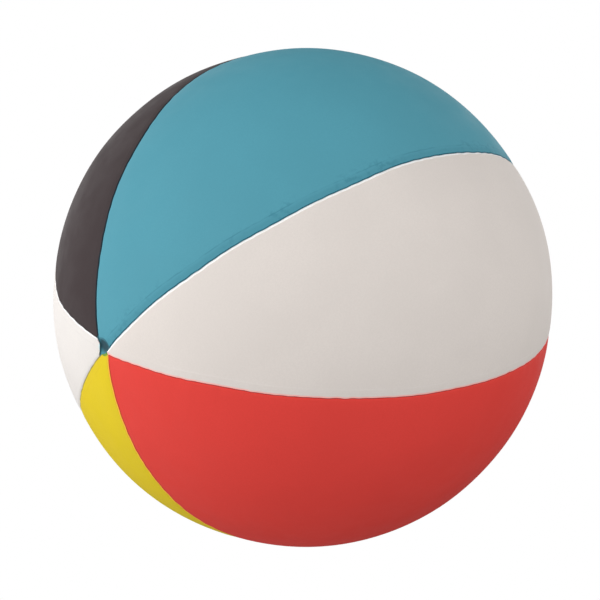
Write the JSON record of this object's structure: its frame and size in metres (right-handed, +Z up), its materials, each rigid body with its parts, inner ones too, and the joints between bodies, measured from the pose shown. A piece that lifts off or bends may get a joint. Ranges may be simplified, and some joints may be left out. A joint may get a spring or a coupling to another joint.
{
  "type": "inflatable beach ball",
  "caption": "Round inflatable ball of coloured vinyl panels lap-welded from pole to pole, with a push-in air valve and a tethered plug.",
  "frame": {"origin": "centre of the ball, on the line between the two poles where the seams meet", "axes": "+Y out along the valve's axis, +Z up, -Z to the floor that the ball rests on, and X along the line between the poles, with the pole that the picture shows on -X"},
  "size_m": [0.32, 0.3197, 0.32],
  "materials": {
    "vinyl_teal": "matte soft vinyl film, teal",
    "vinyl_white": "matte soft vinyl film, warm white",
    "vinyl_red": "matte soft vinyl film, red",
    "vinyl_yellow": "matte soft vinyl film, yellow",
    "vinyl_charcoal": "matte soft vinyl film, charcoal",
    "valve_vinyl": "moulded soft vinyl, milky, slightly glossy"
  },
  "bodies": {
    "ball": {"panel_teal": "vinyl_teal", "panel_white_front": "vinyl_white", "panel_red": "vinyl_red", "panel_yellow": "vinyl_yellow", "panel_white_rear": "vinyl_white", "panel_charcoal": "vinyl_charcoal", "pole_patch_left": "vinyl_teal", "pole_patch_right": "vinyl_teal", "valve_flange": "valve_vinyl", "valve_skirt": "valve_vinyl"},
    "stem": {"valve_stem": "valve_vinyl", "plug_strap": "valve_vinyl"},
    "plug": {"valve_plug": "valve_vinyl"},
    "flap": {"check_flap": "valve_vinyl"}
  },
  "joints": [
    {"name": "valve_push", "type": "slide", "parent": "ball", "child": "stem", "axis": [0, 1, 0], "range_m": [0, 0.025], "deforming": ["valve_skirt"]},
    {"name": "plug_pull", "type": "slide", "parent": "stem", "child": "plug", "axis": [0, 1, 0], "range_m": [0, 0.0075], "deforming": ["plug_strap"]},
    {"name": "flap_hinge", "type": "hinge", "parent": "stem", "child": "flap", "pos_m": [-0.004, 0.1459, 0], "axis": [0, 0, -1], "range_deg": [0, 70], "stiffness_Nm_per_rad": 0.00005}
  ]
}
